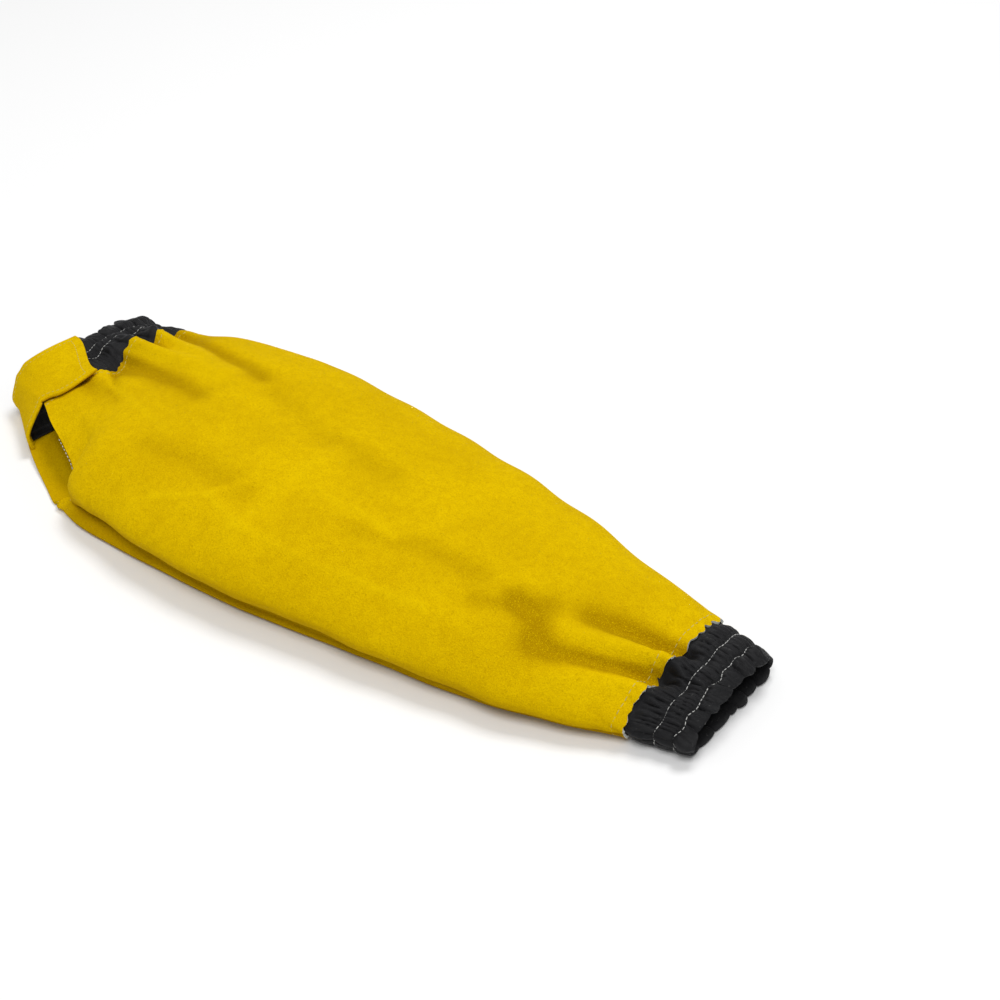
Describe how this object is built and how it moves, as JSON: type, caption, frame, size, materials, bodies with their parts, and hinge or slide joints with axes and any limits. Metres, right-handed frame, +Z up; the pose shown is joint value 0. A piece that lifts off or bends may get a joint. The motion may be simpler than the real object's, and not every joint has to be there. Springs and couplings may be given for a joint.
{
  "type": "welding sleeve",
  "caption": "Split-leather arm sleeve lying flat, with gathered elastic cloth cuffs, a slit at one end and a leather tab that closes it.",
  "frame": {"origin": "on the surface that the sleeve lies on, under the middle of its bounding box", "axes": "+X along the sleeve from the slit cuff to the plain cuff, +Y across it away from the slit, +Z up"},
  "size_m": [0.5642, 0.213, 0.0572],
  "materials": {
    "suede": "napped yellow split leather with a fine pile",
    "cotton": "black woven cotton, gathered on elastic"
  },
  "bodies": {
    "root": {"leather_body": "suede", "closure_tab": "suede", "slit_cuff": "cotton", "plain_cuff": "cotton"}
  },
  "joints": []
}
